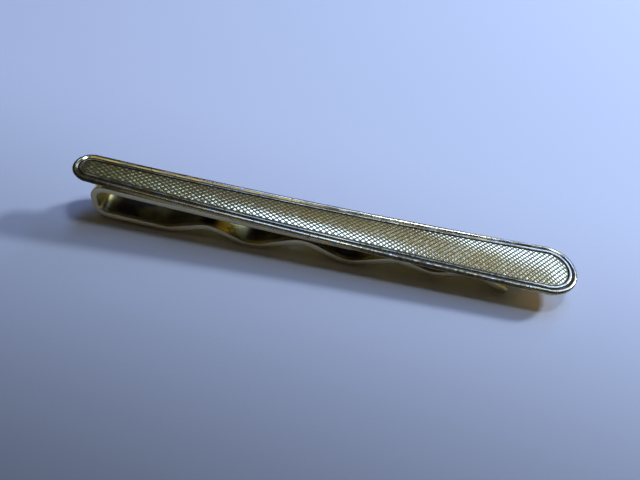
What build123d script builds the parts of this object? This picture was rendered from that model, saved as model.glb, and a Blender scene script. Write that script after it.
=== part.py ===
from build123d import *
import math
import os

# A tapered, engine-turned tie bar lying on its clip.
# The frame is the table's: +X runs along the bar towards its wide end, where the clip is open, and z = 0
# is the surface that the clip rests on. The face leans down towards the wide end.

# Driving dimensions, in millimetres and degrees.
length = 60.0                # the bar, end to end
narrow_end_radius = 2.1      # half the width at the closed end of the clip
wide_end_radius = 3.5        # half the width at the open end
bow_rise = 0.58              # how far the two ends stand above the middle of the face
front_thickness = 0.42       # engine-turned front, measured at its rim
back_thickness = 0.24        # flat lining behind the front
back_inset = 0.12            # lining edge inside the rim of the front
groove_start = 0.50          # border bead, measured in from the rim
groove_end = 0.66
groove_depth = 0.12
panel_start = 1.11           # where the flat band ends and the engine-turned panel begins
panel_depth = 0.06

strip_width = 4.4            # the clip's spring strip
strip_thickness = 0.75
solder_thickness = 0.08
solder_length = 6.0
solder_width = 3.0
solder_centres = (-20.0, -9.0, 1.0)
arm_end = 4.0                # the upper arm stops here, hidden behind the front
arm_bend_start = -24.6
bend_back = -27.12           # middle of the strip where the bend runs upright
bend_radius = 1.6            # middle of the strip at the two corners of the bend
split_height = 3.30          # the bend is divided here, where the leaf turns
split_gap = 0.06

face_height = 4.594          # middle of the face above the table
face_tilt = 3.6              # lean of the face towards its wide end
wave_radius = 3.3            # middle of the strip at every crest and trough of the leaf

tilt_sin = math.sin(math.radians(face_tilt))
tilt_cos = math.cos(math.radians(face_tilt))
half_length = length / 2
bow_radius = (half_length**2 + bow_rise**2) / (2 * bow_rise)
back_bottom = front_thickness + back_thickness
arm_top = back_bottom + solder_thickness
arm_middle = arm_top + strip_thickness / 2
overrun = 1.0                # cutting shapes reach this far past what they cut

# The face stands off centre by this much so that the whole bar is centred on the origin.
face_centre_x = -(2 * bow_rise - front_thickness) * tilt_sin / 2

# Planes of the leaning face: one to draw its outline on, and one to draw its long section on.
face_origin = (face_centre_x, 0, face_height)
face_top = Plane(origin=face_origin, x_dir=(tilt_cos, 0, -tilt_sin), z_dir=(tilt_sin, 0, tilt_cos))
face_side = Plane(origin=face_origin, x_dir=(tilt_cos, 0, -tilt_sin), z_dir=(0, -1, 0))

# Middle line of the leaf in the table's frame, as the corners that the rounded wave is drawn in:
# the foot of the bend, four crests with three troughs between them, and the lead-in tip.
bend_foot = (-27.34, 1.30)
leaf_corners = [
    (-18.60, 0.55),
    (-13.40, 2.46),
    (-8.40, 0.020),
    (-2.14, 2.92),
    (3.40, 0.31),
    (9.10, 2.62),
    (13.57, 1.03),
    (17.77, 2.68),
    (22.39, 0.334),
]


def along_bow(u, depth):
    """Point on the face's long section, u along the bar and depth below the bowed top surface."""
    return (u, bow_radius - math.sqrt(bow_radius**2 - u**2) - depth)


def to_table(u, w):
    """Point of the face's long section, given in the table's frame."""
    return (face_centre_x + u * tilt_cos + w * tilt_sin, face_height - u * tilt_sin + w * tilt_cos)


def bow_points(start, end, depth):
    """Start, middle and end of the arc that follows the bow of the face at one depth."""
    return [along_bow(u, depth) for u in (start, (start + end) / 2, end)]


def bowed_section(top_depth, bottom_depth, start=-half_length - overrun, end=half_length + overrun):
    """Long section of a sheet that follows the bow between two depths."""
    with BuildSketch() as section:
        with BuildLine():
            ThreePointArc(*bow_points(start, end, top_depth))
            Line(along_bow(end, top_depth), along_bow(end, bottom_depth))
            ThreePointArc(*bow_points(end, start, bottom_depth))
            Line(along_bow(start, bottom_depth), along_bow(start, top_depth))
        make_face()
    return section.sketch


def tapered_outline(inset):
    """Plan of the bar: two round ends joined by their tangents, drawn inset from the rim."""
    with BuildSketch() as outline:
        with Locations((narrow_end_radius - half_length, 0)):
            Circle(narrow_end_radius - inset)
        with Locations((half_length - wide_end_radius, 0)):
            Circle(wide_end_radius - inset)
        make_hull()
    return outline.sketch


# Cutter for the groove between the border bead and the flat band.
with BuildPart() as groove_cutter:
    with BuildSketch(face_side):
        add(bowed_section(-overrun, groove_depth))
    extrude(amount=2 * wide_end_radius, both=True)
    with BuildSketch(face_top):
        add(tapered_outline(groove_start))
        add(tapered_outline(groove_end), mode=Mode.SUBTRACT)
    extrude(amount=2 * wide_end_radius, both=True, mode=Mode.INTERSECT)

# Cutter for the panel that carries the engine turning, set slightly below the band.
with BuildPart() as panel_cutter:
    with BuildSketch(face_side):
        add(bowed_section(-overrun, panel_depth))
    extrude(amount=2 * wide_end_radius, both=True)
    with BuildSketch(face_top):
        add(tapered_outline(panel_start))
    extrude(amount=2 * wide_end_radius, both=True, mode=Mode.INTERSECT)

# Engine-turned front: bowed sheet, trimmed to the tapered outline, with its border.
with BuildPart() as front_plate:
    with BuildSketch(face_side):
        add(bowed_section(0, front_thickness))
    extrude(amount=2 * wide_end_radius, both=True)
    with BuildSketch(face_top):
        add(tapered_outline(0))
    extrude(amount=2 * wide_end_radius, both=True, mode=Mode.INTERSECT)
    add(groove_cutter.part, mode=Mode.SUBTRACT)
    add(panel_cutter.part, mode=Mode.SUBTRACT)
front_plate.part.label = "front_plate"

# Lining behind the front, a little smaller all round.
with BuildPart() as back_plate:
    with BuildSketch(face_side):
        add(bowed_section(front_thickness, back_bottom))
    extrude(amount=2 * wide_end_radius, both=True)
    with BuildSketch(face_top):
        add(tapered_outline(back_inset))
    extrude(amount=2 * wide_end_radius, both=True, mode=Mode.INTERSECT)
back_plate.part.label = "back_plate"

# Three pads of solder between the lining and the clip's upper arm.
with BuildPart() as solder_joints:
    with BuildSketch(face_side):
        for centre in solder_centres:
            add(bowed_section(back_bottom, arm_top, centre - solder_length / 2, centre + solder_length / 2))
    extrude(amount=solder_width / 2, both=True)
solder_joints.part.label = "solder_joints"

# Upper arm of the clip, with the upper half of the bend. It follows the bow of the lining.
bend_tangent = -arm_bend_start / bow_radius
bend_start_point = along_bow(arm_bend_start, arm_middle)
bend_top_corner = (bend_back, bend_start_point[1] + (arm_bend_start - bend_back) * bend_tangent)
with BuildPart() as clip_arm:
    with BuildSketch(Plane.XZ):
        with BuildLine():
            ThreePointArc(*[to_table(*point) for point in bow_points(arm_end, arm_bend_start, arm_middle)])
            FilletPolyline(
                to_table(*bend_start_point),
                to_table(*bend_top_corner),
                (bend_foot[0], split_height + split_gap / 2),
                radius=bend_radius,
            )
        trace(line_width=strip_thickness)
    extrude(amount=strip_width / 2, both=True)
clip_arm.part.label = "clip_arm"

# Lower half of the bend and the waved leaf, which springs away from the face to let cloth in.
with BuildPart() as spring_leaf:
    with BuildSketch(Plane.XZ):
        with BuildLine():
            FilletPolyline(
                (bend_foot[0], split_height - split_gap / 2),
                bend_foot,
                *leaf_corners,
                radius=[bend_radius] + [wave_radius] * (len(leaf_corners) - 1),
            )
        trace(line_width=strip_thickness)
    extrude(amount=strip_width / 2, both=True)
spring_leaf.part.label = "spring_leaf"

os.makedirs("parts", exist_ok=True)
export_step(front_plate.part, "parts/front_plate.step")
export_step(back_plate.part, "parts/back_plate.step")
export_step(solder_joints.part, "parts/solder_joints.step")
export_step(clip_arm.part, "parts/clip_arm.step")
export_step(spring_leaf.part, "parts/spring_leaf.step")
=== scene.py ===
import math

import bpy
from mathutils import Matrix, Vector


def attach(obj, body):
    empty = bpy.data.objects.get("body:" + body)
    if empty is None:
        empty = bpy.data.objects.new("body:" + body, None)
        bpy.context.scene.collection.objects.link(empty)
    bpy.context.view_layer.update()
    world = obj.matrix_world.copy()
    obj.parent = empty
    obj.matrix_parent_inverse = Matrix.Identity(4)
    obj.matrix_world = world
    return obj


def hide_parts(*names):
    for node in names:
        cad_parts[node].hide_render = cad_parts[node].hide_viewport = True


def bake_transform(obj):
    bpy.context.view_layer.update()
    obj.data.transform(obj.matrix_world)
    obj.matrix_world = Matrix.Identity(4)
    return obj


# Looks of an engine-turned tie bar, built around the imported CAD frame.
# Lengths are in millimetres on the leaning face or in the table's frame, and become metres in the meshes.
# u runs along the face to the wide end, v across it away from the viewer, w out of its bowed top surface.

MM = 0.001

# ---------------------------------------------------------------- shape, as in the CAD
LENGTH = 60.0
NARROW_RADIUS = 2.1
WIDE_RADIUS = 3.5
BOW_RISE = 0.58
FRONT_THICKNESS = 0.42
LINING_THICKNESS = 0.24
LINING_INSET = 0.12
PANEL_START = 1.11
STRIP_WIDTH = 4.4
STRIP_THICKNESS = 0.75
SOLDER_THICKNESS = 0.08
SOLDER_CENTRES = (-20.0, -9.0, 1.0)
ARM_END = 4.0
ARM_BEND_START = -24.6
BEND_BACK = -27.12
BEND_RADIUS = 1.6
FACE_HEIGHT = 4.594
FACE_TILT = math.radians(3.6)
WAVE_RADIUS = 3.3
BEND_FOOT = (-27.34, 1.30)
LEAF_CORNERS = [
    (-18.60, 0.55),
    (-13.40, 2.46),
    (-8.40, 0.020),
    (-2.14, 2.92),
    (3.40, 0.31),
    (9.10, 2.62),
    (13.57, 1.03),
    (17.77, 2.68),
    (22.39, 0.334),
]

HALF_LENGTH = LENGTH / 2
NARROW_CENTRE = NARROW_RADIUS - HALF_LENGTH
WIDE_CENTRE = HALF_LENGTH - WIDE_RADIUS
BOW_RADIUS = (HALF_LENGTH**2 + BOW_RISE**2) / (2 * BOW_RISE)
TAPER = math.asin((WIDE_RADIUS - NARROW_RADIUS) / (WIDE_CENTRE - NARROW_CENTRE))
SIDE_LENGTH = (WIDE_CENTRE - NARROW_CENTRE) * math.cos(TAPER)
TILT_SIN = math.sin(FACE_TILT)
TILT_COS = math.cos(FACE_TILT)
FACE_CENTRE_X = -(2 * BOW_RISE - FRONT_THICKNESS) * TILT_SIN / 2
BACK_BOTTOM = FRONT_THICKNESS + LINING_THICKNESS
ARM_MIDDLE = BACK_BOTTOM + SOLDER_THICKNESS + STRIP_THICKNESS / 2

# ---------------------------------------------------------------- detail that only the looks carry
# Two families of grooves, each given as turns per millimetre along u and v at the middle of the face.
FIRST_GROOVES = (1.42, -1.49)
SECOND_GROOVES = (1.31, 1.87)
GROOVE_CLOSING = 0.003           # both families lie closer together along u towards the wide end
GROOVE_HALF_WIDTH = 0.12         # share of the spacing between two grooves
SOIL_HALF_WIDTH = 0.27
FIRST_SOIL_LEAST = 0.30          # the first grooves are cleanest at the narrow end
SECOND_SOIL_LEAST = 0.50         # and the second at the wide end
GROOVE_DEEP = 0.014
PILLOW_DOME = 0.012
CELL_STEPS = (0.0, 0.06, 0.12, 0.25, 0.40, 0.60, 0.75, 0.88, 0.94)
PANEL_EDGE = -0.105              # the panel's height at its edge
PANEL_EDGE_SLOPE = math.radians(7.0)
NARROW_DARKENING = 0.44               # darkening and dulling of the panel towards its narrow end
NARROW_DARKENING_REACH = 27.0
CORNER_SOIL_WIDTH = 0.13         # dirt gathered along the step round the panel

# Border of the front from the panel outwards and round the rim: inset, height, soil. The soil is dirt in
# the step and the groove, and painted shade round the rim's lower edge and on its underside.
BORDER_PROFILE = [
    (1.100, -0.130, 1.0),
    (1.070, -0.120, 1.0),
    (1.040, -0.075, 0.9),
    (1.015, -0.025, 1.0),
    (0.985, -0.004, 0.6),
    (0.930, 0.000, 0.1),
    (0.860, 0.001, 0.0),
    (0.790, 0.000, 0.0),
    (0.745, -0.004, 0.0),
    (0.715, -0.025, 0.4),
    (0.690, -0.075, 0.9),
    (0.665, -0.108, 1.0),
    (0.635, -0.112, 1.0),
    (0.612, -0.104, 0.7),
    (0.590, -0.092, 0.1),
    (0.540, -0.069, 0.0),
    (0.480, -0.042, 0.0),
    (0.420, -0.015, 0.0),
    (0.380, 0.000, 0.0),
    (0.330, 0.009, 0.0),
    (0.260, 0.004, 0.0),
    (0.190, -0.013, 0.0),
    (0.125, -0.044, 0.0),
    (0.070, -0.092, 0.0),
    (0.028, -0.150, 0.0),
    (0.005, -0.220, 0.1),
    (0.000, -0.300, 0.3),
    (0.006, -0.350, 0.6),
    (0.030, -0.395, 1.0),
    (0.070, -0.418, 1.0),
    (0.120, -0.420, 1.0),
]

# Rim of the lining from its top round to its underside: inset, height, soil. Here the soil is painted
# shade, deepest where the lining meets the front's rim.
LINING_PROFILE = [
    (0.230, -0.408, 1.0),
    (0.165, -0.410, 1.0),
    (0.130, -0.425, 0.9),
    (0.120, -0.460, 0.5),
    (0.120, -0.530, 0.2),
    (0.120, -0.600, 0.2),
    (0.130, -0.635, 0.1),
    (0.155, -0.655, 0.1),
    (0.200, -0.660, 0.0),
]

BAND_START = 0.70                # inset where the dull band begins inside the bead
BEAD_WEAR = 0.80                 # how much the bead shares of the band's wear
STEP_TOP = 0.95                  # inset where the step down to the panel begins
FAR_STEP_DARKENING = 0.55             # the far side's step is left less dark than the near side's
NEAR_DARKENING = 0.34                # darkening added to the near side's border, away from the narrow end
NEAR_DARKENING_START = 1.0
NEAR_DARKENING_GAIN = 5.0            # length over which it builds up
NEAR_DARKENING_END = 26.0
NEAR_DARKENING_LOSS = 3.0            # length over which it fades out
TIP_DARKENING = 0.45                 # darkened gold round the rim of the narrow tip
TIP_DARKENING_END = -22.0
TIP_DARKENING_LOSS = 4.0
RIM_START = 0.36                 # inset where the rim turns down from the bead

ARC_STEPS_NARROW = 30
SIDE_STEPS = 200
ARC_STEPS_WIDE = 44
HALF_STATIONS = ARC_STEPS_NARROW + SIDE_STEPS + ARC_STEPS_WIDE
STATIONS = 2 * HALF_STATIONS


# ---------------------------------------------------------------- frames
def clamp(value):
    """Value held between 0 and 1."""
    return min(1.0, max(0.0, value))


def to_table(u, w):
    """Point of the face's long section, in the table's frame."""
    return (FACE_CENTRE_X + u * TILT_COS + w * TILT_SIN, FACE_HEIGHT - u * TILT_SIN + w * TILT_COS)


def bow(u):
    """How far the bow lifts the face at u."""
    return BOW_RADIUS - math.sqrt(BOW_RADIUS**2 - u * u)


def face_point(u, v, w):
    """Point given on the bowed face, in metres in the table's frame."""
    x, z = to_table(u, w + bow(u))
    return (x * MM, v * MM, z * MM)


# ---------------------------------------------------------------- outline
def outline_point(station, inset):
    """Point on the outline, inset from the rim. Stations run from the narrow tip, the near side first."""
    near = station <= HALF_STATIONS
    k = station if near else STATIONS - station
    if k <= ARC_STEPS_NARROW:
        angle = math.pi + (math.pi / 2 - TAPER) * k / ARC_STEPS_NARROW
        centre, radius, along = NARROW_CENTRE, NARROW_RADIUS, 0.0
    elif k <= ARC_STEPS_NARROW + SIDE_STEPS:
        angle = 1.5 * math.pi - TAPER
        centre, radius = NARROW_CENTRE, NARROW_RADIUS
        along = SIDE_LENGTH * (k - ARC_STEPS_NARROW) / SIDE_STEPS
    else:
        share = (k - ARC_STEPS_NARROW - SIDE_STEPS) / ARC_STEPS_WIDE
        angle = 1.5 * math.pi - TAPER + (math.pi / 2 + TAPER) * share
        centre, radius, along = WIDE_CENTRE, WIDE_RADIUS, 0.0
    u = centre + (radius - inset) * math.cos(angle) + along * math.cos(TAPER)
    v = (radius - inset) * math.sin(angle) - along * math.sin(TAPER)
    return (u, v if near else -v)


def side_station(u, v):
    """How far a point lies along the straight side, from 0 to the side's length inside it."""
    return (u - NARROW_CENTRE) * math.cos(TAPER) + abs(v) * math.sin(TAPER)


def outline_station(u, v):
    """Station of the outline point nearest to (u, v)."""
    along = side_station(u, v)
    if along < 0:
        angle = math.atan2(abs(v), -(u - NARROW_CENTRE))
        k = ARC_STEPS_NARROW * angle / (math.pi / 2 - TAPER)
    elif along <= SIDE_LENGTH:
        k = ARC_STEPS_NARROW + SIDE_STEPS * along / SIDE_LENGTH
    else:
        angle = math.atan2(u - WIDE_CENTRE, abs(v)) + TAPER
        k = ARC_STEPS_NARROW + SIDE_STEPS + ARC_STEPS_WIDE * angle / (math.pi / 2 + TAPER)
    return k if v <= 0 else STATIONS - k


def rim_distance(u, v):
    """Distance in from the rim, and the local distance from rim to spine."""
    along = side_station(u, v)
    if along < 0:
        return NARROW_RADIUS - math.hypot(u - NARROW_CENTRE, v), NARROW_RADIUS
    if along <= SIDE_LENGTH:
        across = -(u - NARROW_CENTRE) * math.sin(TAPER) + abs(v) * math.cos(TAPER)
        half = NARROW_RADIUS + (WIDE_RADIUS - NARROW_RADIUS) * along / SIDE_LENGTH
        return NARROW_RADIUS - across, half
    return WIDE_RADIUS - math.hypot(u - WIDE_CENTRE, v), WIDE_RADIUS


# ---------------------------------------------------------------- engine turning
def groove_share(turns, half_width):
    """0 on top of a pillow to 1 at the bottom of the groove, from a position counted in grooves."""
    away = abs(turns - round(turns))
    return max(0.0, 1.0 - away / half_width)


def groove_turns(u, v):
    """Position counted in grooves, in both families."""
    along = u + GROOVE_CLOSING * u * u
    return tuple(a * along + b * v for a, b in (FIRST_GROOVES, SECOND_GROOVES))


def groove_place(first, second):
    """Point (u, v) at a position counted in grooves."""
    (a, b), (c, d) = FIRST_GROOVES, SECOND_GROOVES
    det = a * d - b * c
    along = (first * d - second * b) / det
    spread = max(0.0, 1 + 4 * GROOVE_CLOSING * along)
    return (math.sqrt(spread) - 1) / (2 * GROOVE_CLOSING), (second * a - first * c) / det


def turning(u, v):
    """Height and soil of the engine turning."""
    first, second = groove_turns(u, v)
    cut = max(groove_share(turns, GROOVE_HALF_WIDTH) for turns in (first, second))
    along = 0.5 + u / LENGTH
    first_soil = (1 - (1 - FIRST_SOIL_LEAST) * (1 - along)) * groove_share(first, SOIL_HALF_WIDTH)
    second_soil = (1 - (1 - SECOND_SOIL_LEAST) * along) * groove_share(second, SOIL_HALF_WIDTH)
    fall = sum((2 * (turns - math.floor(turns)) - 1) ** 2 for turns in (first, second)) / 2
    return -GROOVE_DEEP * cut - PILLOW_DOME * fall, max(first_soil, second_soil)


def settled_soil(u, v, inset, soil):
    """Soil and painted shade on the border, with less on the far step and added darkening along the near
    border and round the narrow tip's rim.
    """
    if inset > STEP_TOP:
        return soil * (1 - (1 - FAR_STEP_DARKENING) * clamp(v))
    start = clamp((u - NEAR_DARKENING_START) / NEAR_DARKENING_GAIN)
    end = clamp((NEAR_DARKENING_END - u) / NEAR_DARKENING_LOSS)
    tip = clamp((TIP_DARKENING_END - u) / TIP_DARKENING_LOSS) if inset < RIM_START else 0.0
    return min(1.0, soil + NEAR_DARKENING * clamp(-v) * start * end + TIP_DARKENING * tip)


def panel_height(u, v):
    """Height and soil of the panel: crowned across its width, engine turned, and darker towards its narrow
    end.
    """
    distance, half = rim_distance(u, v)
    half -= PANEL_START
    share = max(0.0, 1.0 - (distance - PANEL_START) / half)
    crown = math.tan(PANEL_EDGE_SLOPE) * half / 2 * (1 - share * share)
    height, soil = turning(u, v)
    corner_soil = settled_soil(u, v, PANEL_START, 1.0 - (distance - PANEL_START) / CORNER_SOIL_WIDTH)
    darkening = NARROW_DARKENING * max(0.0, 1 - (u + HALF_LENGTH) / NARROW_DARKENING_REACH)
    return PANEL_EDGE + crown + height, max(soil, corner_soil, darkening)


def clip_to_panel(polygon):
    """Part of a small polygon that lies inside the panel's outline."""
    kept = []
    depths = [rim_distance(u, v)[0] - PANEL_START for u, v in polygon]
    for i, (here, depth) in enumerate(zip(polygon, depths)):
        after, next_depth = polygon[(i + 1) % len(polygon)], depths[(i + 1) % len(polygon)]
        if depth >= 0:
            kept.append(here)
        if (depth >= 0) != (next_depth >= 0):
            t = depth / (depth - next_depth)
            kept.append((here[0] + t * (after[0] - here[0]), here[1] + t * (after[1] - here[1])))
    return kept


def lattice_lines(grooves):
    """Positions of the mesh lines across one family of grooves, counted in grooves."""
    reach = math.ceil(1.2 * math.hypot(*grooves) * HALF_LENGTH)
    return [k + step for k in range(-reach, reach) for step in CELL_STEPS]


def panel_cells():
    """Small four-sided cells that cover the panel, their edges along the grooves."""
    first_lines, second_lines = lattice_lines(FIRST_GROOVES), lattice_lines(SECOND_GROOVES)
    for p0, p1 in zip(first_lines, first_lines[1:]):
        for q0, q1 in zip(second_lines, second_lines[1:]):
            u, v = groove_place(p0, q0)
            if abs(u) < HALF_LENGTH and abs(v) < WIDE_RADIUS:
                yield [(u, v), groove_place(p1, q0), groove_place(p1, q1), groove_place(p0, q1)]


class MeshMaker:
    """Collects faces, and vertices with how soiled or painted with shade and how worn they are."""

    def __init__(self):
        self.points, self.soil, self.worn, self.faces = [], [], [], []

    def add(self, point, soil=0.0, worn=0.0):
        """Collects one vertex and returns its number."""
        self.points.append(point)
        self.soil.append(soil)
        self.worn.append(worn)
        return len(self.points) - 1

    def finish(self, name, material, smooth_angle=40.0):
        """Turns what was collected into an object, smooth except where faces meet at a larger angle."""
        mesh = bpy.data.meshes.new(name)
        mesh.from_pydata(self.points, [], self.faces)
        mesh.validate()
        for label, values in (("soil", self.soil), ("worn", self.worn)):
            mesh.attributes.new(label, "FLOAT", "POINT").data.foreach_set("value", values)
        mesh.polygons.foreach_set("use_smooth", [True] * len(mesh.polygons))
        mesh.set_sharp_from_angle(angle=math.radians(smooth_angle))
        mesh.materials.append(material)
        obj = bpy.data.objects.new(name, mesh)
        bpy.context.scene.collection.objects.link(obj)
        return obj


def panel_mesh(maker):
    """Adds the engine-turned panel and returns its boundary, in order of station."""
    index, edges = {}, set()
    for cell in panel_cells():
        corners = []
        for u, v in clip_to_panel(cell):
            key = (round(u, 5), round(v, 5))
            if key not in index:
                w, soil = panel_height(u, v)
                index[key] = maker.add((u, v, w), soil)
            if index[key] not in corners:
                corners.append(index[key])
        if len(corners) > 2:
            maker.faces.append(corners)
            edges.update(zip(corners, corners[1:] + corners[:1]))
    rim = {i for a, b in edges if (b, a) not in edges for i in (a, b)}
    return sorted((outline_station(*maker.points[i][:2]), i) for i in rim)


def ring(maker, inset, w, soil):
    """Adds one loop of the outline and returns it with its stations."""
    loop = []
    worn = 1.0 if inset > BAND_START else BEAD_WEAR
    for k in range(STATIONS):
        u, v = outline_point(k, inset)
        loop.append((float(k), maker.add((u, v, w), settled_soil(u, v, inset, soil), worn)))
    return loop


def zip_loops(maker, inner, outer):
    """Fills the narrow strip between two loops with different numbers of points."""
    i = j = 0
    while i < len(inner) or j < len(outer):
        next_inner = inner[(i + 1) % len(inner)][0] + (STATIONS if i + 1 >= len(inner) else 0)
        next_outer = outer[(j + 1) % len(outer)][0] + (STATIONS if j + 1 >= len(outer) else 0)
        a, b = inner[i % len(inner)][1], outer[j % len(outer)][1]
        if j >= len(outer) or (i < len(inner) and next_inner <= next_outer):
            maker.faces.append([a, b, inner[(i + 1) % len(inner)][1]])
            i += 1
        else:
            maker.faces.append([a, b, outer[(j + 1) % len(outer)][1]])
            j += 1


def join_rings(maker, inner, outer):
    """Quads between two loops with the same stations."""
    for k in range(STATIONS):
        n = (k + 1) % STATIONS
        maker.faces.append([inner[k][1], outer[k][1], outer[n][1], inner[n][1]])


def close_flat(maker, loop, upward):
    """Closes a loop with strips that run straight across the bar."""
    for k in range(HALF_STATIONS):
        near, near_next = loop[k][1], loop[k + 1][1]
        far, far_next = loop[(STATIONS - k) % STATIONS][1], loop[STATIONS - k - 1][1]
        face = []
        for i in (near, near_next, far_next, far):
            if i not in face:
                face.append(i)
        maker.faces.append(face if upward else face[::-1])


def bend_to_face(maker):
    """Moves the collected points from the flat drawing onto the bowed, leaning face."""
    maker.points = [face_point(*p) for p in maker.points]


def front_piece(material):
    """Engine-turned front in one sheet: panel, step, band, groove, bead, rim and underside."""
    maker = MeshMaker()
    panel_rim = panel_mesh(maker)
    loops = [ring(maker, *row) for row in BORDER_PROFILE]
    zip_loops(maker, panel_rim, loops[0])
    for inner, outer in zip(loops, loops[1:]):
        join_rings(maker, inner, outer)
    close_flat(maker, loops[-1], upward=False)
    bend_to_face(maker)
    return maker.finish("engine_turned_front", material, smooth_angle=60.0)


def lining_piece(material):
    """Sheet lining behind the front."""
    maker = MeshMaker()
    loops = [ring(maker, *row) for row in LINING_PROFILE]
    for inner, outer in zip(loops, loops[1:]):
        join_rings(maker, inner, outer)
    close_flat(maker, loops[0], upward=True)
    close_flat(maker, loops[-1], upward=False)
    bend_to_face(maker)
    return maker.finish("lining", material)


# ---------------------------------------------------------------- spring strip
ARM_STEPS = 48                   # stations along the arm
ARC_STEP = math.radians(6.0)     # turn between stations in the bends
RUN_STEP = 0.6                   # most distance between stations on the straight runs
STRIP_CORNER = 0.07              # rounding of the strip's long edges
STRIP_CORNER_STEPS = 3           # mesh steps round each of those edges
STRIP_LANES = 8                  # mesh lanes across each wide face
EDGE_CENTRE_WEAR = 1.0           # a narrow edge is worn most along its middle
EDGE_SIDE_WEAR = 0.75
LEAF_CUT = -25.0                 # the bend passes into the leaf here, below this height
LEAF_CUT_BELOW = 2.0
INSIDE_SHADE_START = -27.3            # along the table, where the painted shade inside the clip begins to deepen
INSIDE_SHADE_FADE = 1.2
# share of the painted shade kept in the bend
BEND_PAINTED_SHADE = 0.62
BRIGHT_PLACE = -10.9             # the painted shade is lighter on one slope of the leaf, for an unknown reason
BRIGHT_REACH = 2.2
BRIGHT_SHARE = 0.75


def bend_end_points():
    """Start and top corner of the bend, in the table's frame."""
    start = to_table(ARM_BEND_START, bow(ARM_BEND_START) - ARM_MIDDLE)
    slope = -ARM_BEND_START / BOW_RADIUS
    rise = bow(ARM_BEND_START) - ARM_MIDDLE + (ARM_BEND_START - BEND_BACK) * slope
    return start, to_table(BEND_BACK, rise)


def rounded_corner(before, corner, after, radius):
    """Points of the arc that rounds one corner of a path."""
    incoming = (Vector(before) - Vector(corner)).normalized()
    outgoing = (Vector(after) - Vector(corner)).normalized()
    half = incoming.angle(outgoing) / 2
    centre = Vector(corner) + (incoming + outgoing).normalized() * (radius / math.sin(half))
    first = Vector(corner) + incoming * (radius / math.tan(half))
    turn = math.pi - 2 * half
    side = 1 if incoming.x * outgoing.y - incoming.y * outgoing.x < 0 else -1
    steps = max(2, math.ceil(turn / ARC_STEP))
    spoke = first - centre
    points = []
    for i in range(steps + 1):
        angle = side * turn * i / steps
        c, s = math.cos(angle), math.sin(angle)
        points.append(centre + Vector((spoke.x * c - spoke.y * s, spoke.x * s + spoke.y * c)))
    return points


def even_runs(points):
    """Divides the long straight runs of a path."""
    out = [points[0]]
    for a, b in zip(points, points[1:]):
        length = (b - a).length
        if length < 1e-4:
            continue
        steps = max(1, math.ceil(length / RUN_STEP))
        out += [a.lerp(b, i / steps) for i in range(1, steps + 1)]
    return out


def strip_path():
    """Middle line of the whole spring strip, from the hidden end of the arm to the leaf's tip."""
    points = []
    for i in range(ARM_STEPS):
        u = ARM_END + (ARM_BEND_START - ARM_END) * i / ARM_STEPS
        points.append(Vector(to_table(u, bow(u) - ARM_MIDDLE)))
    start, top_corner = bend_end_points()
    corners = [start, top_corner, BEND_FOOT, *LEAF_CORNERS]
    radii = [BEND_RADIUS, BEND_RADIUS] + [WAVE_RADIUS] * (len(LEAF_CORNERS) - 1)
    points.append(Vector(start))
    for before, corner, after, radius in zip(corners, corners[1:], corners[2:], radii):
        points += rounded_corner(before, corner, after, radius)
    points.append(Vector(corners[-1]))
    return even_runs(points)


def strip_section():
    """Loop of the strip's section: across, out of the face, and how much of an edge it is."""
    half, thick, r = STRIP_WIDTH / 2, STRIP_THICKNESS / 2, STRIP_CORNER
    loop = []
    for side_v, side_n, start in ((1, 1, 0.0), (-1, 1, 90.0), (-1, -1, 180.0), (1, -1, 270.0)):
        for step in range(STRIP_CORNER_STEPS + 1):
            angle = math.radians(start + 90.0 / STRIP_CORNER_STEPS * step)
            across = side_v * (half - r) + r * math.cos(angle)
            out = side_n * (thick - r) + r * math.sin(angle)
            edge = EDGE_CENTRE_WEAR - (EDGE_CENTRE_WEAR - EDGE_SIDE_WEAR) * abs(math.sin(angle))
            loop.append((across, out, edge))
        if start in (0.0, 180.0):
            for lane in range(1, STRIP_LANES):
                across = side_v * (half - r) * (1 - 2 * lane / STRIP_LANES)
                loop.append((across, side_n * thick, 0.0))
    return loop


def rounded_end(row, inward):
    """Three stations that round one end of the strip, from the outside in."""
    point, way, _ = row
    stations = []
    for turn in (0.0, 0.5, 1.0):
        along = STRIP_CORNER * (1 - math.cos(turn))
        stations.append((point + way * inward * along, way, STRIP_CORNER * (1 - math.sin(turn))))
    return stations


def strip_rows():
    """Stations of the strip: middle point, direction, and how far the section shrinks there."""
    path = strip_path()
    rows = []
    for i, point in enumerate(path):
        before, after = path[max(0, i - 1)], path[min(len(path) - 1, i + 1)]
        rows.append((point, (after - before).normalized(), 0.0))
    return rounded_end(rows[0], 1) + rows[1:-1] + rounded_end(rows[-1], -1)[::-1]


def inner_painted_shade(x, out, edge):
    """How much painted shade the strip gets: only inside the clip, and less in the bend and on one slope.
    """
    if out <= 0.0 or edge > 0.0:
        return 0.0
    bright = max(0.0, 1 - abs(x - BRIGHT_PLACE) / BRIGHT_REACH)
    along = clamp((x - INSIDE_SHADE_START) / INSIDE_SHADE_FADE)
    return (BEND_PAINTED_SHADE + (1 - BEND_PAINTED_SHADE) * along) * (1 - BRIGHT_SHARE * bright)


def strip_loop(maker, section, row):
    """Adds the strip's section at one station."""
    point, way, shrink = row
    normal = Vector((-way.y, way.x))
    loop = []
    for across, out, edge in section:
        v = math.copysign(max(abs(across) - shrink, 0.0), across)
        n = math.copysign(max(abs(out) - shrink, 0.0), out)
        place = point + normal * n
        # Painted shade on the faces inside the clip.
        soil = inner_painted_shade(place.x, out, edge)
        loop.append(maker.add((place.x * MM, v * MM, place.y * MM), soil, edge))
    return loop


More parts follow.
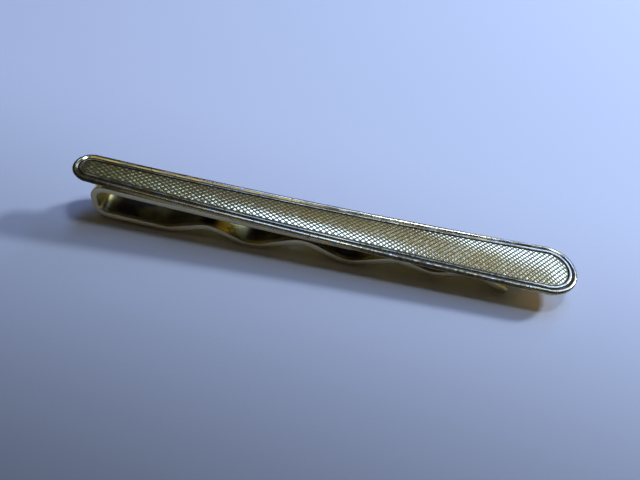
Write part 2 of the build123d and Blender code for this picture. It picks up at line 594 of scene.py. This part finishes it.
def strip_piece(name, rows, material):
    """One closed length of the spring strip."""
    maker = MeshMaker()
    section = strip_section()
    loops = [strip_loop(maker, section, row) for row in rows]
    for one, two in zip(loops, loops[1:]):
        for k in range(len(section)):
            n = (k + 1) % len(section)
            maker.faces.append([one[k], two[k], two[n], one[n]])
    maker.faces.append(loops[0])
    maker.faces.append(loops[-1][::-1])
    return maker.finish(name, material)


def strip_cuts(rows):
    """Stations where the strip is divided: before the bend and after it."""
    first = next(i for i, (point, _, _) in enumerate(rows) if point.x <= ARM_BEND_START)
    for second in range(first + 1, len(rows)):
        point = rows[second][0]
        if point.x >= LEAF_CUT and point.y < LEAF_CUT_BELOW:
            return first, second


# ---------------------------------------------------------------- solder
SOLDER_HALF_LENGTH = 3.1
SOLDER_OVERLAP = 0.01            # how far the solder sinks into the lining
SOLDER_REACH = 0.12              # how far the fillet climbs down the strip's side
SOLDER_TAPER = 0.86              # size of a pad's lower face beside its upper face
SOLDER_STEPS = 72
SOLDER_SPILL = (-0.25, 0.30)     # least and most that a pad stands out past the strip
SOLDER_MARGIN = 0.08             # lining left bare beside a pad
SOLDER_SQUARENESS = 6            # power of the rounded oblong; 2 would be an ellipse
SOLDER_SOIL = 0.3


def solder_outline(centre, number):
    """Slightly uneven rounded pad, wider than the strip where the lining leaves room for a fillet."""
    room = rim_distance(centre, 0)[1] - LINING_INSET - STRIP_WIDTH / 2
    spill = max(SOLDER_SPILL[0], min(SOLDER_SPILL[1], room - SOLDER_MARGIN))
    outline = []
    for k in range(SOLDER_STEPS):
        a = 2 * math.pi * k / SOLDER_STEPS
        wobble = 1 + 0.02 * math.sin(3 * a + number) + 0.015 * math.sin(7 * a + 2 * number)
        total = abs(math.cos(a)) ** SOLDER_SQUARENESS + abs(math.sin(a)) ** SOLDER_SQUARENESS
        stretch = total ** (-1 / SOLDER_SQUARENESS)
        u = SOLDER_HALF_LENGTH * math.cos(a) * stretch * wobble
        v = (STRIP_WIDTH / 2 + spill) * math.sin(a) * stretch * wobble
        outline.append((u, v))
    return outline


def solder_piece(material):
    """Solder pads between the lining and the arm, with a fillet where there is room beside the arm."""
    maker = MeshMaker()
    top_w = SOLDER_OVERLAP - BACK_BOTTOM
    bottom_w = -BACK_BOTTOM - SOLDER_THICKNESS - SOLDER_REACH
    for number, centre in enumerate(SOLDER_CENTRES):
        outline = solder_outline(centre, number)
        top = [maker.add((centre + u, v, top_w), SOLDER_SOIL) for u, v in outline]
        bottom = [maker.add((centre + u * SOLDER_TAPER, v * SOLDER_TAPER, bottom_w)) for u, v in outline]
        for k in range(SOLDER_STEPS):
            n = (k + 1) % SOLDER_STEPS
            maker.faces.append([top[k], bottom[k], bottom[n], top[n]])
        maker.faces.append(top)
        maker.faces.append(bottom[::-1])
    bend_to_face(maker)
    return maker.finish("solder", material)


# ---------------------------------------------------------------- materials
class Shading:
    """A metal or paper material, built up from small procedural steps."""

    def __init__(self, name):
        self.material = bpy.data.materials.new(name)
        self.material.use_nodes = True
        self.nodes = self.material.node_tree.nodes
        self.links = self.material.node_tree.links
        self.shader = self.nodes["Principled BSDF"]
        self.place = self.nodes.new("ShaderNodeTexCoord").outputs["Object"]

    def connect(self, source, socket):
        """Links a node's output, or sets a plain value."""
        if isinstance(source, bpy.types.NodeSocket):
            self.links.new(source, socket)
        else:
            socket.default_value = source

    def attribute(self, name):
        """Value that the mesh carries for each vertex."""
        node = self.nodes.new("ShaderNodeAttribute")
        node.attribute_name = name
        return node.outputs["Fac"]

    def coordinate(self, axis):
        """Place along one axis of the table's frame, in metres."""
        split = self.nodes.new("ShaderNodeSeparateXYZ")
        self.links.new(self.place, split.inputs[0])
        return split.outputs[axis]

    def math(self, operation, a, b):
        """One step of arithmetic on two values."""
        node = self.nodes.new("ShaderNodeMath")
        node.operation = operation
        self.connect(a, node.inputs[0])
        self.connect(b, node.inputs[1])
        return node.outputs[0]

    def remap(self, value, low, high, to_low=0.0, to_high=1.0):
        """Maps low..high smoothly onto to_low..to_high, and holds the ends."""
        node = self.nodes.new("ShaderNodeMapRange")
        node.interpolation_type = "SMOOTHSTEP"
        self.connect(value, node.inputs["Value"])
        node.inputs["From Min"].default_value = low
        node.inputs["From Max"].default_value = high
        node.inputs["To Min"].default_value = to_low
        node.inputs["To Max"].default_value = to_high
        return node.outputs["Result"]

    def noise(self, per_metre, detail=3.0, roughness=0.55, stretch=(1, 1, 1), shift=0.0):
        """Noise with features counted per metre, stretched by an inverse scale for each axis."""
        mapping = self.nodes.new("ShaderNodeMapping")
        self.links.new(self.place, mapping.inputs["Vector"])
        mapping.inputs["Location"].default_value = (shift, shift, shift)
        mapping.inputs["Scale"].default_value = stretch
        node = self.nodes.new("ShaderNodeTexNoise")
        self.links.new(mapping.outputs["Vector"], node.inputs["Vector"])
        node.inputs["Scale"].default_value = per_metre
        node.inputs["Detail"].default_value = detail
        node.inputs["Roughness"].default_value = roughness
        return node.outputs["Fac"]

    def blend(self, factor, a, b):
        """Colour a at factor 0 and colour b at factor 1."""
        node = self.nodes.new("ShaderNodeMix")
        node.data_type = "RGBA"
        self.connect(factor, node.inputs["Factor"])
        self.connect(a, node.inputs["A"])
        self.connect(b, node.inputs["B"])
        return node.outputs["Result"]

    def between(self, factor, a, b):
        """Number a at factor 0 and number b at factor 1."""
        node = self.nodes.new("ShaderNodeMix")
        node.data_type = "FLOAT"
        self.connect(factor, node.inputs["Factor"])
        self.connect(a, node.inputs["A"])
        self.connect(b, node.inputs["B"])
        return node.outputs["Result"]

    def relief(self, height, distance, strength=1.0):
        """Bump of the shader's normal, with its full height in metres."""
        node = self.nodes.new("ShaderNodeBump")
        node.inputs["Strength"].default_value = strength
        node.inputs["Distance"].default_value = distance
        self.links.new(height, node.inputs["Height"])
        self.links.new(node.outputs["Normal"], self.shader.inputs["Normal"])

    def finish(self, color, roughness, metallic):
        """Feeds the shader and returns the material."""
        self.connect(color, self.shader.inputs["Base Color"])
        self.connect(roughness, self.shader.inputs["Roughness"])
        self.connect(metallic, self.shader.inputs["Metallic"])
        return self.material


GOLD = (0.88, 0.74, 0.38, 1.0)
GOLD_DEEP = (0.75, 0.58, 0.25, 1.0)
GOLD_SATURATED = (0.70, 0.54, 0.12, 1.0)
SATURATED_FROM = -0.030               # in metres along the bar: fully saturated here at the narrow tip
SATURATED_TO = -0.008
CLIP_GOLD = (0.84, 0.62, 0.16, 1.0)
# Patina in the border's hollows; also the colour of the painted shade under the rim and on the lining.
PATINA_AND_SHADE = (0.050, 0.040, 0.018, 1.0)
GROOVE_TONE = (0.090, 0.068, 0.018, 1.0)
# Dark colour painted inside the clip as shade.
INSIDE_PAINTED_SHADE = (0.030, 0.022, 0.014, 1.0)
RUST = (0.16, 0.075, 0.035, 1.0)
DULL = (0.30, 0.275, 0.185, 1.0)
WORN = (0.52, 0.53, 0.50, 1.0)
EDGE_METAL = (0.64, 0.60, 0.44, 1.0)
SOLDER = (0.56, 0.53, 0.45, 1.0)


def front_material():
    """Gold: more saturated and darker towards the narrow end, dirt in the grooves, painted shade under the
    rim, a dull and spotted border.
    """
    m = Shading("front_gold")
    soil = m.attribute("soil")
    border = m.attribute("worn")
    cloud = m.noise(170.0, 4.0)
    speck = m.noise(2600.0, 3.0, shift=0.3)
    scratches = m.noise(900.0, 4.0, 0.7, stretch=(0.8, 9.0, 9.0))
    gold = m.blend(m.remap(cloud, 0.35, 0.70), GOLD, GOLD_DEEP)
    gold = m.blend(m.remap(m.coordinate("X"), SATURATED_FROM, SATURATED_TO, 1.0, 0.0), gold, GOLD_SATURATED)
    spots = m.math("MULTIPLY", m.remap(speck, 0.60, 0.70), border)
    dull = m.math("MULTIPLY", m.remap(m.noise(240.0, 4.0, shift=0.4), 0.30, 0.62, 0.35, 0.95), border)
    gold = m.blend(dull, gold, DULL)
    rubbed = m.math("MULTIPLY", m.remap(m.noise(1500.0, 2.0, shift=0.9), 0.60, 0.68), border)
    gold = m.blend(rubbed, gold, WORN)
    gold = m.blend(spots, gold, RUST)
    # Dirt in the grooves and hollows, added darkening, and painted shade under the rim.
    grime_and_shade = m.remap(m.math("ADD", soil, m.remap(speck, 0.3, 0.7, -0.10, 0.10)), 0.06, 0.50)
    color = m.blend(grime_and_shade, gold, m.blend(border, GROOVE_TONE, PATINA_AND_SHADE))
    polish = m.remap(scratches, 0.30, 0.70, 0.05, 0.11)
    rub = m.remap(m.noise(600.0, 3.0, shift=0.6), 0.40, 0.70, 0.13, 0.32)
    roughness = m.between(border, polish, rub)
    roughness = m.between(m.math("MAXIMUM", grime_and_shade, spots), roughness, 0.50)
    m.relief(scratches, 0.0000015)
    return m.finish(color, roughness, m.between(grime_and_shade, 1.0, 0.75))


def lining_material():
    """Thinner gold on the sheet behind, satin with drawn lines along its length, and painted shade under
    the front's rim.
    """
    m = Shading("lining_gold")
    soil = m.attribute("soil")
    lines = m.noise(700.0, 5.0, 0.7, stretch=(0.5, 14.0, 14.0))
    cloud = m.noise(260.0, 4.0)
    gold = m.blend(m.remap(cloud, 0.35, 0.70), GOLD, GOLD_DEEP)
    stain = m.remap(m.noise(420.0, 5.0, shift=0.5), 0.52, 0.72, 0.0, 0.55)
    gold = m.blend(stain, gold, RUST)
    # Painted shade, deepest where the lining meets the front's rim.
    color = m.blend(m.remap(soil, 0.1, 1.0), gold, PATINA_AND_SHADE)
    roughness = m.remap(lines, 0.30, 0.70, 0.20, 0.36)
    m.relief(lines, 0.000005)
    return m.finish(color, roughness, 1.0)


def clip_material():
    """Spring strip: polished faces, duller cut edges, and painted shade inside the clip."""
    m = Shading("clip_gold")
    edge = m.attribute("worn")
    lines = m.noise(700.0, 5.0, 0.7, stretch=(0.6, 12.0, 2.0))
    grain = m.noise(3200.0, 3.0, 0.6, shift=0.2)
    cloud = m.noise(300.0, 4.0)
    gold = m.blend(m.remap(cloud, 0.35, 0.70), CLIP_GOLD, GOLD_SATURATED)
    stain = m.remap(m.noise(500.0, 4.0, shift=0.7), 0.55, 0.72, 0.0, 0.6)
    gold = m.blend(stain, gold, RUST)
    dull = m.blend(m.remap(grain, 0.42, 0.62), EDGE_METAL, GOLD_DEEP)
    color = m.blend(edge, gold, dull)
    patches = m.remap(m.noise(170.0, 3.0, shift=0.1), 0.40, 0.60, 0.80, 1.0)
    # Painted shade inside the clip, broken up by patches.
    inside_shade = m.math("MULTIPLY", m.attribute("soil"), patches)
    color = m.blend(inside_shade, color, INSIDE_PAINTED_SHADE)
    polish = m.remap(lines, 0.30, 0.70, 0.12, 0.24)
    roughness = m.between(edge, polish, m.remap(grain, 0.3, 0.7, 0.32, 0.48))
    roughness = m.between(inside_shade, roughness, 0.45)
    m.relief(m.math("MULTIPLY", grain, edge), 0.000012)
    return m.finish(color, roughness, 1.0)


def solder_material():
    """Grey-gold solder with a slightly lumpy skin."""
    m = Shading("solder_metal")
    cloud = m.noise(900.0, 4.0)
    color = m.blend(m.remap(cloud, 0.4, 0.65), SOLDER, GOLD_DEEP)
    m.relief(cloud, 0.00002)
    return m.finish(color, m.remap(cloud, 0.3, 0.7, 0.26, 0.45), 1.0)


PAPER = (0.73, 0.71, 0.665, 1.0)
# Painted shade on the paper, deepest towards the viewer.
PAPER_PAINTED_SHADE = (0.104, 0.096, 0.085, 1.0)
PAPER_SLANT = 0.09               # how much the painted shade also changes along X
PAINTED_SHADE_AT = -0.055          # in metres, towards the viewer, where the painted shade is deepest
PAPER_FULL_AT = 0.0225


def floor_material():
    """Plain pale paper with painted shade, deepening towards the viewer and to the left."""
    m = Shading("paper_floor")
    along = m.math("ADD", m.coordinate("Y"), m.math("MULTIPLY", m.coordinate("X"), PAPER_SLANT))
    color = m.blend(m.remap(along, PAINTED_SHADE_AT, PAPER_FULL_AT), PAPER_PAINTED_SHADE, PAPER)
    fibre = m.noise(2500.0, 4.0)
    m.relief(fibre, 0.00003, 0.4)
    return m.finish(color, 0.9, 0.0)


# ---------------------------------------------------------------- stage, lights and camera
LAMP_TINT = (0.79, 1.0, 1.52)
WINDOW_TINT = (0.58, 1.0, 2.62)
GLOW_TINT = (1.0, 0.98, 0.54)
SHELF_TINT = (1.0, 1.0, 0.90)
FILL_TINT = (1.0, 0.95, 0.85)
ROOM_TINT = (1.0, 0.74, 0.50)
BOUNCE_TINT = (1.0, 0.60, 0.22)
ROOM_STRENGTH = 0.024

# Area lights: name, azimuth, elevation, distance, width, height, radiance, tint, shape, roll.
LIGHTS = [
    ("lamp", 58.0, 35.0, 0.40, 0.054, 0.054, 124.0, LAMP_TINT, "ELLIPSE", 0.0),
    ("overhead", 60.0, 75.0, 0.40, 0.060, 0.060, 34.0, LAMP_TINT, "ELLIPSE", 0.0),
    ("window", 32.0, 39.0, 0.60, 0.36, 0.12, 3.0, WINDOW_TINT, "RECTANGLE", -33.0),
    ("ceiling", 3.0, 66.0, 0.60, 0.16, 0.22, 3.1, WINDOW_TINT, "RECTANGLE", 0.0),
    ("shelf", 225.0, 79.0, 0.60, 0.24, 0.10, 1.0, SHELF_TINT, "RECTANGLE", 45.0),
]

# Glows on the room's wall: azimuth, elevation, spread, strength, tint.
GLOWS = [
    (20.0, 46.0, 13.0, 0.36, GLOW_TINT),
    (180.0, 6.0, 20.0, 0.10, FILL_TINT),
]

# Warm light from the bar's own polished underside, below the wide end, in metres and degrees.
BOUNCE_SIZE = (0.005, 0.003)
BOUNCE_POWER = 0.0000055
BOUNCE_SPREAD = 95.0
BOUNCE_PLACE = (0.0262, -0.0019, 0.0024)
BOUNCE_LEAN = -28.0


def direction(azimuth, elevation):
    """Unit vector, azimuth in degrees from +Y towards +X."""
    a, e = math.radians(azimuth), math.radians(elevation)
    return Vector((math.sin(a) * math.cos(e), math.cos(a) * math.cos(e), math.sin(e)))


def area_light(name, azimuth, elevation, distance, width, height, radiance, tint, shape, roll):
    """Area light at a distance in metres, aimed at the object, with its brightness given as radiance."""
    data = bpy.data.lights.new(name, "AREA")
    data.shape = shape
    data.size = width
    data.size_y = height
    area = width * height * (math.pi / 4 if shape == "ELLIPSE" else 1.0)
    data.energy = radiance * math.pi * area
    data.color = tint
    obj = bpy.data.objects.new(name, data)
    obj.location = direction(azimuth, elevation) * distance
    obj.rotation_euler = (-obj.location).to_track_quat("-Z", "Y").to_euler()
    obj.rotation_euler.rotate_axis("Z", math.radians(roll))
    bpy.context.scene.collection.objects.link(obj)


def gold_bounce():
    """Small warm lamp that stands in for light the gold reflects onto the paper, below the wide end."""
    data = bpy.data.lights.new("gold_bounce", "AREA")
    data.shape = "ELLIPSE"
    data.size, data.size_y = BOUNCE_SIZE
    data.energy = BOUNCE_POWER
    data.spread = math.radians(BOUNCE_SPREAD)
    data.color = BOUNCE_TINT
    obj = bpy.data.objects.new("gold_bounce", data)
    obj.location = BOUNCE_PLACE
    obj.rotation_euler = (math.radians(BOUNCE_LEAN), 0.0, 0.0)
    obj.visible_glossy = False
    bpy.context.scene.collection.objects.link(obj)


def build_lights():
    """Lamp, overhead lamp, and the window, ceiling and shelf that the gold reflects."""
    gold_bounce()
    for light in LIGHTS:
        area_light(*light)


def glow_strength(nodes, links, azimuth, elevation, spread, strength):
    """Soft round glow on the room's wall, falling off over a spread in degrees."""
    toward = nodes.new("ShaderNodeVectorMath")
    toward.operation = "DOT_PRODUCT"
    toward.inputs[1].default_value = direction(azimuth, elevation)
    links.new(nodes.new("ShaderNodeTexCoord").outputs["Generated"], toward.inputs[0])
    previous = toward.outputs["Value"]
    width = math.radians(spread) ** 2
    steps = [("SUBTRACT", 1.0), ("DIVIDE", width), ("EXPONENT", 0.0), ("MULTIPLY", strength)]
    for operation, number in steps:
        step = nodes.new("ShaderNodeMath")
        step.operation = operation
        step.inputs[1].default_value = number
        links.new(previous, step.inputs[0])
        previous = step.outputs[0]
    return previous


def build_world():
    """Dim, warm room with a glow around the window and a faint one behind the viewer."""
    world = bpy.data.worlds.new("room")
    bpy.context.scene.world = world
    world.use_nodes = True
    nodes, links = world.node_tree.nodes, world.node_tree.links
    room = nodes["Background"]
    room.inputs["Color"].default_value = (*ROOM_TINT, 1.0)
    room.inputs["Strength"].default_value = ROOM_STRENGTH
    surface = room.outputs[0]
    for azimuth, elevation, spread, strength, tint in GLOWS:
        glow = nodes.new("ShaderNodeBackground")
        glow.inputs["Color"].default_value = (*tint, 1.0)
        falloff = glow_strength(nodes, links, azimuth, elevation, spread, strength)
        links.new(falloff, glow.inputs["Strength"])
        both = nodes.new("ShaderNodeAddShader")
        links.new(surface, both.inputs[0])
        links.new(glow.outputs[0], both.inputs[1])
        surface = both.outputs[0]
    links.new(surface, nodes["World Output"].inputs["Surface"])


FLOOR_HALF = 1.2                 # half the floor's width, in metres
FLOOR_DROP = 0.00002             # the floor lies this far under the lowest point


def build_floor():
    """Square of paper under the object, part of the stage."""
    mesh = bpy.data.meshes.new("floor")
    corners = [(x * FLOOR_HALF, y * FLOOR_HALF, 0) for x, y in ((-1, -1), (1, -1), (1, 1), (-1, 1))]
    mesh.from_pydata(corners, [], [[0, 1, 2, 3]])
    mesh.materials.append(floor_material())
    obj = bpy.data.objects.new("floor", mesh)
    obj.location = (0, 0, -FLOOR_DROP)
    bpy.context.scene.collection.objects.link(obj)


CAMERA_AIM = (-0.095, -1.728, 3.141)
CAMERA_AZIMUTH = math.radians(5.177)
CAMERA_ELEVATION = math.radians(49.729)
CAMERA_ROLL = math.radians(6.324)
CAMERA_DISTANCE = 74.73
CAMERA_LENS = 36.0
CAMERA_SENSOR = 36.0
CAMERA_NEAR = 0.005              # nearest distance drawn, in metres


def build_camera():
    """Camera above and in front, a little to the right, with plain colours."""
    data = bpy.data.cameras.new("camera")
    data.lens = CAMERA_LENS
    data.sensor_width = CAMERA_SENSOR
    data.clip_start = CAMERA_NEAR
    obj = bpy.data.objects.new("camera", data)
    az, el = CAMERA_AZIMUTH, CAMERA_ELEVATION
    back = Vector((math.sin(az) * math.cos(el), -math.cos(az) * math.cos(el), math.sin(el)))
    obj.location = (Vector(CAMERA_AIM) + back * CAMERA_DISTANCE) * MM
    obj.rotation_euler = back.to_track_quat("Z", "Y").to_euler()
    obj.rotation_euler.rotate_axis("Z", CAMERA_ROLL)
    bpy.context.scene.collection.objects.link(obj)
    bpy.context.scene.camera = obj
    bpy.context.scene.view_settings.view_transform = "Standard"


# ---------------------------------------------------------------- the object
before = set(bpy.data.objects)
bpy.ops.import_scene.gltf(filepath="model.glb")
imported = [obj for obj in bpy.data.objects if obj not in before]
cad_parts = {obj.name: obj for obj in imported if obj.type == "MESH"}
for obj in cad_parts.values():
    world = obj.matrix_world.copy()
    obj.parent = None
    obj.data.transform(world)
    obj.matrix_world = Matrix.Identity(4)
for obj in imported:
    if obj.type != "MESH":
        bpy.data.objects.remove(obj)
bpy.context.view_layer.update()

front_gold = front_material()
lining_gold = lining_material()
clip_gold = clip_material()
solder_metal = solder_material()

front = front_piece(front_gold)
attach(front, "bar")
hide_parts("front_plate")

lining = lining_piece(lining_gold)
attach(lining, "bar")
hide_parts("back_plate")

strip = strip_rows()
bend_start, bend_end = strip_cuts(strip)
arm = strip_piece("strip_arm", strip[:bend_start + 1], clip_gold)
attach(arm, "bar")
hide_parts("clip_arm")

bend = strip_piece("strip_bend", strip[bend_start:bend_end + 1], clip_gold)
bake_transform(bend)
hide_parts("clip_arm", "spring_leaf")

leaf = strip_piece("strip_leaf", strip[bend_end:], clip_gold)
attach(leaf, "leaf")
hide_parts("spring_leaf")

solder = solder_piece(solder_metal)
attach(solder, "bar")
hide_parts("solder_joints")

build_floor()
build_lights()
build_world()
build_camera()
